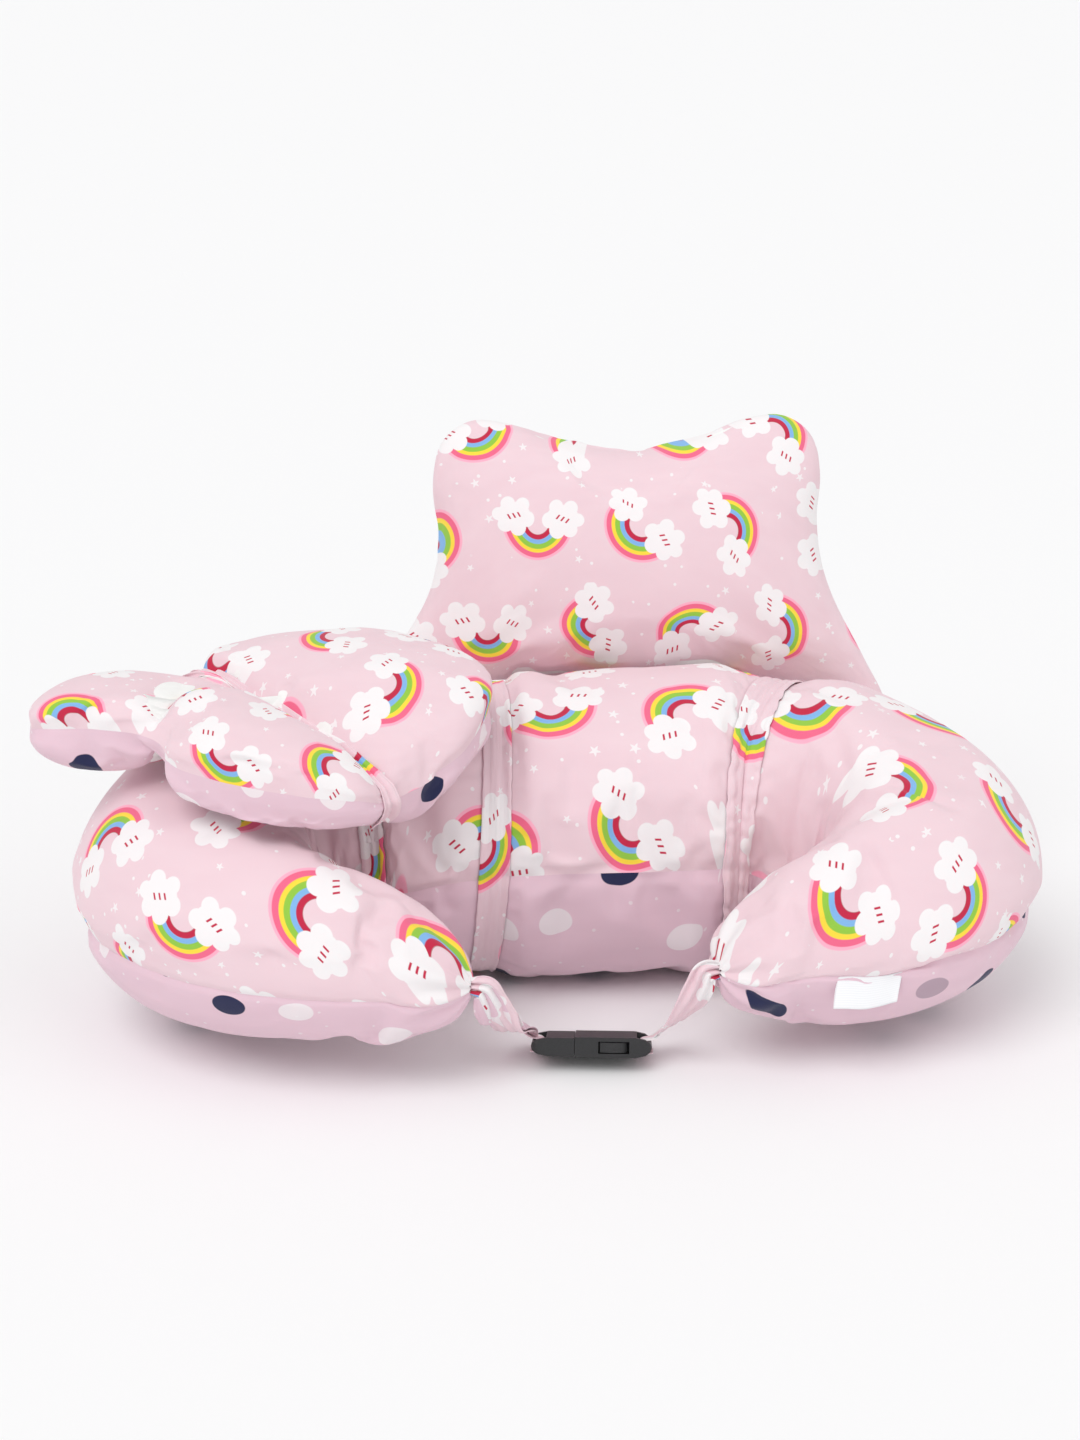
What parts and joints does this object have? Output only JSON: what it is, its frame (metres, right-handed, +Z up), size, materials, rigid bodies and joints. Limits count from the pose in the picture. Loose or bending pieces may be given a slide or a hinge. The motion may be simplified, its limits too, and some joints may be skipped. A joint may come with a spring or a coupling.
{
  "type": "nursing pillow",
  "caption": "C-shaped stuffed roll with a zipped cover, a butterfly back pillow and a lobed head pillow held by bands, and a buckled waist strap across its open side.",
  "frame": {"origin": "on the flat patch that the middle of the back roll rests on, below the roll's centre line", "axes": "+X to the right of someone who looks at the open side, along the pillow's width; +Y from the open side towards the back pillow; +Z up from the resting surface"},
  "size_m": [0.616, 0.3737, 0.3377],
  "materials": {
    "print_cotton": "woven cotton, pale pink with a repeated print of arches, stars and dots",
    "plain_cotton": "woven cotton, plain lilac pink with sparse ovals and dots",
    "band_cotton": "gathered woven cotton with elastic inside",
    "strap_cotton": "folded and stitched woven cotton strap",
    "liner_cloth": "plain white inner cloth",
    "fibre_fill": "white polyester fibre stuffing",
    "label_ribbon": "blank white satin ribbon",
    "zip_tape": "woven zip tape",
    "zip_coil": "nylon coil",
    "zip_metal": "plated zip metal",
    "buckle_plastic": "black moulded acetal, fine matt grain"
  },
  "bodies": {
    "main_pillow": {"main_cover_upper": "print_cotton", "main_cover_lower": "plain_cotton", "main_liner": "liner_cloth", "main_fill": "fibre_fill", "care_label": "label_ribbon", "zip_tape_upper": "zip_tape", "zip_tape_lower": "zip_tape", "zip_coil": "zip_coil", "zip_stops": "zip_metal", "strap_left": "strap_cotton", "strap_right": "strap_cotton", "buckle_socket": "buckle_plastic", "back_band_left": "band_cotton", "back_band_right": "band_cotton", "head_band_loop": "band_cotton"},
    "zip_runner": {"zip_slider": "zip_metal"},
    "zip_tab": {"zip_pull": "zip_metal"},
    "plug": {"buckle_plug": "buckle_plastic"},
    "front_prong": {"buckle_prong_front": "buckle_plastic"},
    "rear_prong": {"buckle_prong_rear": "buckle_plastic"},
    "back_pillow": {"back_cover_front": "print_cotton", "back_cover_rear": "plain_cotton", "back_fill": "fibre_fill"},
    "head_pillow": {"head_cover_upper": "print_cotton", "head_cover_lower": "plain_cotton", "head_fill": "fibre_fill", "head_band_wrap": "band_cotton"}
  },
  "joints": [
    {"name": "back_pillow_tilt", "type": "hinge", "parent": "main_pillow", "child": "back_pillow", "pos_m": [0.062, 0.072, 0.164], "axis": [1, 0, 0], "range_deg": [-35, 10]},
    {"name": "head_pillow_swivel", "type": "hinge", "parent": "main_pillow", "child": "head_pillow", "pos_m": [-0.166, -0.09, 0.2], "axis": [0, 0, 1], "range_deg": [-15, 15]},
    {"name": "zip_slide", "type": "slide", "parent": "main_pillow", "child": "zip_runner", "axis": [-1, 0, 0], "range_m": [0, 0.125]},
    {"name": "zip_pull_swing", "type": "hinge", "parent": "zip_runner", "child": "zip_tab", "pos_m": [0.1095, 0.10207, 0.07406], "axis": [1, 0, 0], "range_deg": [0, 120]},
    {"name": "buckle_release", "type": "slide", "parent": "main_pillow", "child": "plug", "axis": [-0.9925, 0.1219, 0], "range_m": [0, 0.022], "deforming": ["strap_left"]},
    {"name": "prong_front_flex", "type": "hinge", "parent": "plug", "child": "front_prong", "pos_m": [-0.00148, -0.16581, 0.01396], "axis": [0.0377, 0.3067, 0.9511], "range_deg": [0, 12.5]},
    {"name": "prong_rear_flex", "type": "hinge", "parent": "plug", "child": "rear_prong", "pos_m": [0.00052, -0.14958, 0.00864], "axis": [-0.0377, -0.3067, -0.9511], "range_deg": [0, 12.5]}
  ],
  "couplings": [
    {"joint": "prong_front_flex", "follows": "buckle_release", "rad_per_m": 9.5},
    {"joint": "prong_rear_flex", "follows": "buckle_release", "rad_per_m": 9.5}
  ]
}
